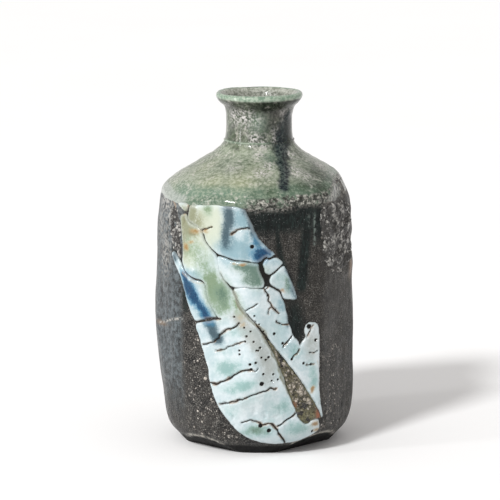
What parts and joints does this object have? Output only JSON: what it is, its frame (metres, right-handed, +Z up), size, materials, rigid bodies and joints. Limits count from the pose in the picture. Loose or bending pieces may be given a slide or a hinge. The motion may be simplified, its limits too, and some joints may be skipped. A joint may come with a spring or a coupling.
{
  "type": "sake bottle",
  "caption": "Faceted stoneware sake bottle with a flared neck, green ash glaze on the shoulder and cracked white slip on the front.",
  "frame": {"origin": "on the ground under the middle of the bottle's bounding box", "axes": "+Z up through the neck, the slipped front faces -Y, +X to the right seen from the front"},
  "size_m": [0.0848, 0.0858, 0.149],
  "materials": {
    "clay": "dark iron-washed stoneware, satin, bare and pared",
    "ash_green": "sage green ash glaze, mottled, gloss with matt crystals",
    "slip_white": "thick white slip under clear glaze, cracked, stained blue and green",
    "grit": "rough coarse feldspar grit in brown glaze",
    "lining": "thin green-grey glaze, gloss"
  },
  "bodies": {
    "root": {"base_slab": "clay", "body_wall": "clay", "shoulder": "clay", "neck": "clay", "lip_roll": "clay", "neck_ring": "ash_green", "inner_glaze": "lining", "ash_glaze": "ash_green", "slip_crown": "slip_white", "slip_tongue": "slip_white", "slip_edge_strip": "slip_white", "slip_middle": "slip_white", "slip_blade": "slip_white", "slip_chip_upper": "slip_white", "slip_chip_outer": "slip_white", "slip_chip_corner": "slip_white", "grit_strip": "grit", "grit_patch_left": "grit", "grit_patch_right": "grit"}
  },
  "joints": []
}
